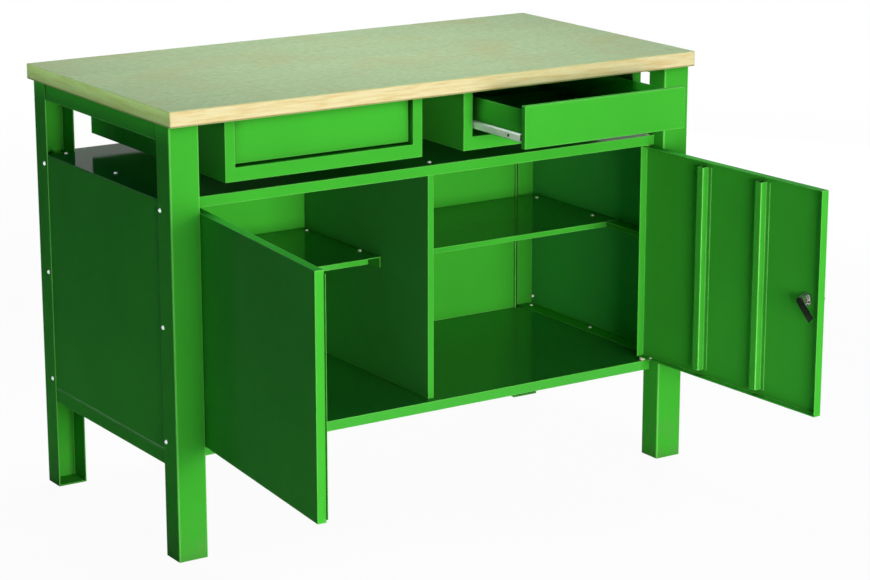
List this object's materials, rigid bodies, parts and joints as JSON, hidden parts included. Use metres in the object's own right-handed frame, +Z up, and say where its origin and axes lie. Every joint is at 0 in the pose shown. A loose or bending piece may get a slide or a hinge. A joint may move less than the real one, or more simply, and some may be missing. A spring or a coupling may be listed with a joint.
{
  "type": "workshop cabinet bench",
  "caption": "Steel workshop bench with a plywood top, drawers in their own housings under it and a lockable cabinet below with hinged doors, a partition and shelves.",
  "frame": {"origin": "centre of the worktop's upper face", "axes": "+X to the right seen from the front, +Y to the back, +Z up; the floor is 0.85 m below the origin"},
  "size_m": [1.18, 1.0624, 0.85],
  "materials": {
    "green_paint": "glossy",
    "plywood": "satin",
    "zinc": "satin",
    "key_steel": "satin",
    "bush_plastic": "matte"
  },
  "bodies": {
    "bench": {"worktop": "plywood", "front_left_leg": "green_paint", "front_right_leg": "green_paint", "rear_left_leg": "green_paint", "rear_right_leg": "green_paint", "front_left_foot": "green_paint", "front_right_foot": "green_paint", "rear_left_foot": "green_paint", "rear_right_foot": "green_paint", "left_top_rail": "green_paint", "right_top_rail": "green_paint", "left_bottom_rail": "green_paint", "right_bottom_rail": "green_paint", "deck": "green_paint", "cabinet_floor": "green_paint", "left_side_panel": "green_paint", "right_side_panel": "green_paint", "back_panel": "green_paint", "partition": "green_paint", "left_shelf": "green_paint", "right_shelf": "green_paint", "left_outer_shelf_rail": "green_paint", "left_inner_shelf_rail": "green_paint", "right_outer_shelf_rail": "green_paint", "right_inner_shelf_rail": "green_paint", "left_upper_hinge_bush": "bush_plastic", "left_lower_hinge_bush": "bush_plastic", "right_upper_hinge_bush": "bush_plastic", "right_lower_hinge_bush": "bush_plastic", "left_drawer_housing": "green_paint", "right_drawer_housing": "green_paint", "left_housing_left_slide": "zinc", "left_housing_right_slide": "zinc", "right_housing_left_slide": "zinc", "right_housing_right_slide": "zinc"},
    "left_door": {"left_door": "green_paint", "left_door_near_stiffener": "green_paint", "left_door_far_stiffener": "green_paint", "left_door_closing_strip": "green_paint", "left_door_upper_pin": "green_paint", "left_door_lower_pin": "zinc"},
    "right_door": {"right_door": "green_paint", "right_door_near_stiffener": "green_paint", "right_door_far_stiffener": "green_paint", "right_door_upper_pin": "green_paint", "right_door_lower_pin": "zinc", "lock_barrel": "key_steel", "lock_nut": "key_steel"},
    "lock": {"lock_plug": "key_steel", "lock_key": "key_steel", "lock_cam": "key_steel"},
    "left_drawer": {"left_drawer_front": "green_paint", "left_drawer_tray": "green_paint", "left_drawer_left_slide": "zinc", "left_drawer_right_slide": "zinc"},
    "right_drawer": {"right_drawer_front": "green_paint", "right_drawer_tray": "green_paint", "right_drawer_left_slide": "zinc", "right_drawer_right_slide": "zinc"}
  },
  "joints": [
    {"name": "left_door_hinge", "type": "hinge", "parent": "bench", "child": "left_door", "pos_m": [-0.5135, -0.2475, -0.415], "axis": [0, 0, -1], "range_deg": [-95, 0.4]},
    {"name": "right_door_hinge", "type": "hinge", "parent": "bench", "child": "right_door", "pos_m": [0.5135, -0.2475, -0.415], "axis": [0, 0, 1], "range_deg": [-93, 2.4]},
    {"name": "lock_turn", "type": "hinge", "parent": "right_door", "child": "lock", "pos_m": [0.53794, -0.71386, -0.415], "axis": [-0.9986, -0.0523, 0], "range_deg": [-46, 44]},
    {"name": "left_drawer_slide", "type": "slide", "parent": "bench", "child": "left_drawer", "axis": [0, -1, 0], "range_m": [0, 0.35]},
    {"name": "right_drawer_slide", "type": "slide", "parent": "bench", "child": "right_drawer", "axis": [0, -1, 0], "range_m": [-0.182, 0.168]}
  ]
}
